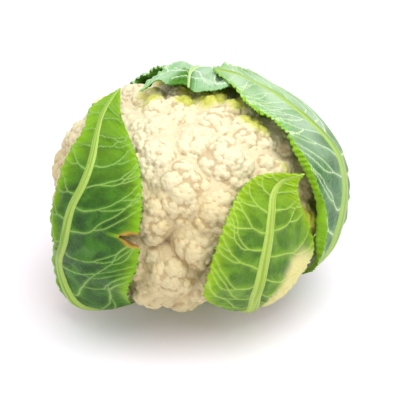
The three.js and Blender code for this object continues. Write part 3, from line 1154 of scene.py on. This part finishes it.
        # Grey wax coat on the outer face, stronger towards the top as painted highlight
        bloom_and_highlight = (1 - bright) * (0.3 + 0.7 * smooth(t, 0.45, 0.7)) * (1 - 0.8 * edge)
        masks = {
            "vein": vein * (1 - on_rib),
            "halo": halo * (1 - on_rib),
            "hollow": hollow,
            "edge": edge * smooth(t, 0.12, 0.3),
            "rib": on_rib,
            "crest": on_rib * (1 - smooth(over_rib, 0.25, 0.8)),
            "streak": on_rib * streak,
            "pale": blanched,
            # Painted light, lighter towards the tip
            "tip_light": smooth(t, 0.4, 1.0) * (1 - 0.5 * halo),
            "bright": bright,
            "base": 1 - smooth(t, 0.03, 0.16),
            "tooth": teeth**2 * smooth(share, 0.955, 0.99),
            "torn": torn,
            "bloom_and_highlight": bloom_and_highlight * (0.75 + 0.25 * ripple(sheet, 12.0, self.seed + 2)),
        }
        return outer, inner, masks, sheet

    def net(self, across: Array, along: Array) -> tuple[Array, Array, Array]:
        """Draw the side veins over the flat blade.

        Args:
            across: Distance out from the midrib, negative on the left.
            along: Distance up the midrib.

        Returns:
            The veins, a wider halo round them, and their relief.
        """
        vein, halo, lift = (np.zeros_like(across) for _ in range(3))
        drawn = chance(self.veins.seed)
        for side, rim in ((-1, -across[:, 0]), (1, across[:, -1])):
            def reach(place: float, rim: Array = rim) -> float:
                """Read the width of this half at a place up the leaf."""
                return float(np.interp(place, along[:, 0], rim))

            for line in self.veins.grow(float(along[-1, 0]), reach, drawn):
                for (x0, y0, w0), (x1, y1, w1) in zip(line, line[1:]):
                    spot = np.array([side * x0, y0])
                    run = np.array([side * x1, y1]) - spot
                    close = (np.abs(across - spot[0]) < 11) & (np.abs(along - spot[1]) < 11)
                    here = np.stack([across[close], along[close]], -1) - spot
                    share = np.clip(here @ run / (run @ run), 0, 1)
                    away = length_of(here - share[:, None] * run)
                    width = w0 + (w1 - w0) * share
                    near = np.exp(-((away / width) ** 2))
                    vein[close] = np.maximum(vein[close], near)
                    lift[close] = np.maximum(lift[close], near * width)
                    halo[close] = np.maximum(halo[close], np.exp(-((away / (3.4 * width)) ** 2)))
        return vein, halo, lift


# Left leaf: its stalk comes out low at the left front and its tip lies over the left shoulder
LEFT_RIB = (
    (-139.5, -67, 4.5), (-142, -45, 9), (-145, -31, 12.5), (-149, -15.5, 4), (-140, 1, 5),
    (-137, 15, 4), (-134, 26, 4), (-137, 36, 4), (-155, 48.5, 4), (-174, 55, 4), (165, 58.5, 5),
)
LEFT_FRONT = (
    (-129, -66.5, 5.5), (-130.5, -50.5, 5), (-121, -36, 4.5), (-112, -12, 3), (-107, 2, 2),
    (-106.5, 15.5, 2), (-107, 26.5, 2), (-111, 37, 2), (-123.5, 47, 2), (-149, 56, 2.5), (165, 58.5, 5),
)
LEFT_BACK = (
    (-149.5, -67.5, 4.5), (-148.5, -44.5, 10.5), (-152, -31.5, 14.5), (-157, -18, 5), (-148, -3.5, 4),
    (-148.5, 8.5, 4), (-147.5, 18.5, 4), (-149, 29.5, 4), (-156.5, 41, 4), (-176.5, 48, 4), (165, 58.5, 5),
)

# Front leaf: short and broad, its pointed tip turned out and to the right
FRONT_RIB = (
    (-43.5, -67, 4.5), (-52.5, -40.5, 4.5), (-60.5, -15.5, 2.5), (-60, -2.5, 3), (-58, 8.5, 3),
    (-56, 17, 3), (-53, 23.5, 3), (-47.5, 27, 6), (-40, 26.5, 12.5),
)
FRONT_LEFT = (
    (-54.5, -67, 4.5), (-62.5, -39, 4), (-82, -13.5, 3), (-80.5, 0.5, 2), (-77, 13, 2),
    (-71.5, 22.5, 2), (-65, 29.5, 2.5), (-55, 31.5, 6), (-40, 26.5, 12.5),
)
FRONT_RIGHT = (
    (-35.5, -67, 4.5), (-46.5, -38.5, 4.5), (-44.5, -27, 3.5), (-38, -18, 3), (-33, -10, 2),
    (-34.5, 2, 2), (-41.5, 16.5, 3), (-43, 23, 7), (-40, 26.5, 12.5),
)

# Right leaf: it stands well off the curd, bends over the crown, and its front margin rolls outwards
RIGHT_RIB = (
    (6.5, -67, 4.5), (3.5, -49.5, 7), (-2.5, -32.5, 9), (-7, -17.5, 10), (-6.5, -7, 13),
    (-3, 3, 14), (0, 13, 12.5), (2, 20, 10), (4.5, 29, 7), (8, 37.5, 5), (17.5, 48, 5),
    (39.5, 56.5, 6), (65, 60, 7),
)
RIGHT_FOLD = (
    (-2, -67.5, 4.5), (-4.5, -49.5, 7), (-12, -32, 7), (-27.5, -15, 4), (-31.5, -2.5, 3.5),
    (-32.5, 13, 4), (-34.5, 25, 5), (-33.5, 34, 5), (-24.5, 43, 5), (-24.5, 50.5, 5), (-18.5, 58, 5),
    (4.5, 65, 5), (65, 60, 7),
)
RIGHT_MARGIN = (
    (-3.5, -67.5, 4.5), (-6.5, -49.5, 7), (-15, -32, 7.5), (-29.5, -15, 7), (-31.5, -2.5, 9.5),
    (-32.5, 13, 10), (-34, 24.5, 9.5), (-33, 33, 8.5), (-26.5, 43.5, 5.5), (-27, 51.5, 5), (-20.5, 59.5, 5),
    (4.5, 66.5, 5), (65, 60, 7),
)
RIGHT_BACK = (
    (17.5, -67, 4.5), (10, -49, 6.5), (7.5, -32.5, 8.5), (12, -14, 9), (24, -2, 7), (33, 8, 6),
    (38, 18, 5), (43, 26, 5), (49, 33, 5), (52, 39, 5), (54, 44, 7.5), (60, 49, 7.5), (65, 60, 7),
)

# Back leaf: broad and blunt, it comes up the back and its wavy end hangs forward over the crown
BACK_RIB = (
    (90, -66.5, 4.5), (90, -48, 6.5), (90, -30, 6.5), (89, -12.5, 6.5), (87, 6, 6), (84, 30, 5),
    (83, 52, 4.5), (86, 65, 4.5), (72.5, 85.5, 2),
)
BACK_LEFT_MIDDLE = (
    (96, -66.5, 4.5), (94, -48, 6.5), (96, -28, 7), (102, -12, 6.5), (105, 5, 6), (102, 25, 5),
    (98, 45, 4.5), (96, 60, 5.5), (143, 74, 4),
)
BACK_LEFT = (
    (101, -66.5, 4.5), (97.5, -48, 6.5), (104, -28, 7), (118, -14, 6), (125, 3, 4), (121, 21, 3),
    (112, 39, 2.5), (108, 54, 4), (174, 67, 3),
)
BACK_RIGHT_MIDDLE = (
    (84, -66.5, 4.5), (86, -48, 6.5), (83, -28, 6.5), (78, -13, 6), (74, 4, 5), (73, 25, 4.5),
    (74, 46, 3), (66, 62, 2), (4, 79.5, 2),
)
BACK_RIGHT = (
    (79, -66.5, 4.5), (82.5, -48, 6.5), (78, -28, 6), (66, -15, 4), (57, 2, 3), (53, 20, 2.5),
    (53, 40, 2), (45, 53, 2), (25, 62.5, 2),
)


def leaves() -> list[Leaf]:
    """List the four wrapper leaves.

    Returns:
        The leaves, from the left one round to the back.
    """
    return [
        Leaf(
            node="leaf_left", finish=LEFT_FINISH, veins=Veins(pitch=20, seed=35),
            left=(LEFT_RIB, LEFT_BACK), right=(LEFT_RIB, LEFT_FRONT),
            rib=5.6, rib_rise=3.6, waves=4, wave=1.6, half_width=34, teeth=30, rows=290, seed=11,
            tear=0.4667,
        ),
        Leaf(
            node="leaf_front", finish=FRONT_FINISH, veins=Veins(pitch=18, seed=57),
            left=(FRONT_RIB, FRONT_LEFT), right=(FRONT_RIB, FRONT_RIGHT),
            rib=5, rib_rise=3.2, waves=3.5, wave=1.8, half_width=30, teeth=26, rows=270, seed=23,
            pale_side=1,
        ),
        Leaf(
            node="leaf_right", finish=RIGHT_FINISH, veins=Veins(pitch=18, seed=71),
            left=(RIGHT_RIB, RIGHT_FOLD, RIGHT_MARGIN), right=(RIGHT_RIB, RIGHT_BACK),
            rib=8, rib_rise=3.8, waves=5, wave=1.2, half_width=30, teeth=36, rows=290, seed=37,
            columns=160, rib_tip=2.2, rib_shift=-14, pleat=0.6, crumple=0.8, fold=0.84, rolled=True,
        ),
        Leaf(
            node="leaf_back", finish=BACK_FINISH, veins=Veins(width=1.2, seed=93),
            left=(BACK_RIB, BACK_RIGHT_MIDDLE, BACK_RIGHT), right=(BACK_RIB, BACK_LEFT_MIDDLE, BACK_LEFT),
            rib=4.8, rib_rise=3.6, waves=4, wave=1.2, half_width=60, teeth=28, rows=250, seed=43,
            columns=180, pucker=0.9, pleat=0.9, crumple=1.5, blunt=True, lobe=True,
        ),
    ]


# Studio
@dataclass
class Studio:
    """A white table under a wide soft light, and the camera that looks down on it."""

    elevation: float = 30.0
    distance: float = 677.8
    aim: tuple[float, float, float] = (8.5, 0.0, 62.4)
    lens: float = 100.0
    sensor: float = 36.0
    floor_half: float = 4.0  # in metres
    sky: float = 0.93
    light_place: tuple[float, float, float] = (170.0, -200.0, 740.0)
    light_size: float = 0.7  # in metres
    light_watts: float = 4.7

    def build(self) -> None:
        """Add the camera, the floor, the light and the bright surroundings."""
        scene = bpy.context.scene
        scene.view_settings.view_transform = "Standard"
        lens = bpy.data.cameras.new("camera")
        lens.lens = self.lens
        lens.sensor_width = self.sensor
        camera = bpy.data.objects.new("camera", lens)
        scene.collection.objects.link(camera)
        tilt = math.radians(self.elevation)
        back = Vector((0, -math.cos(tilt), math.sin(tilt)))
        camera.location = (Vector(self.aim) + back * self.distance) * MM
        camera.rotation_euler = (-back).to_track_quat("-Z", "Y").to_euler()
        scene.camera = camera

        bm = bmesh.new()
        bmesh.ops.create_grid(bm, x_segments=8, y_segments=8, size=self.floor_half)
        floor = bpy.data.objects.new("floor", write_mesh("floor", bm))
        scene.collection.objects.link(floor)
        floor.data.materials.append(TABLE_FINISH.material())

        soft = bpy.data.lights.new("softbox", "AREA")
        soft.size = self.light_size
        soft.energy = self.light_watts
        lamp = bpy.data.objects.new("softbox", soft)
        lamp.location = Vector(self.light_place) * MM
        lamp.rotation_euler = (lamp.location - Vector(self.aim) * MM).to_track_quat("Z", "Y").to_euler()
        scene.collection.objects.link(lamp)

        world = bpy.data.worlds.new("bright_room")
        world.use_nodes = True
        world.node_tree.nodes.clear()
        light = {"Color": linear("#ffffff"), "Strength": self.sky}
        glow = add_node(world.node_tree, "ShaderNodeBackground", light)
        add_node(world.node_tree, "ShaderNodeOutputWorld", links={"Surface": glow.outputs[0]})
        scene.world = world


def main() -> None:
    """Build the stage, the curd, the stem and the leaves."""
    logging.basicConfig(level=logging.INFO, format="%(name)s: %(message)s")
    Studio().build()
    Curd().build()
    Stem().build()
    for leaf in leaves():
        leaf.build()


if __name__ == "__main__":
    main()
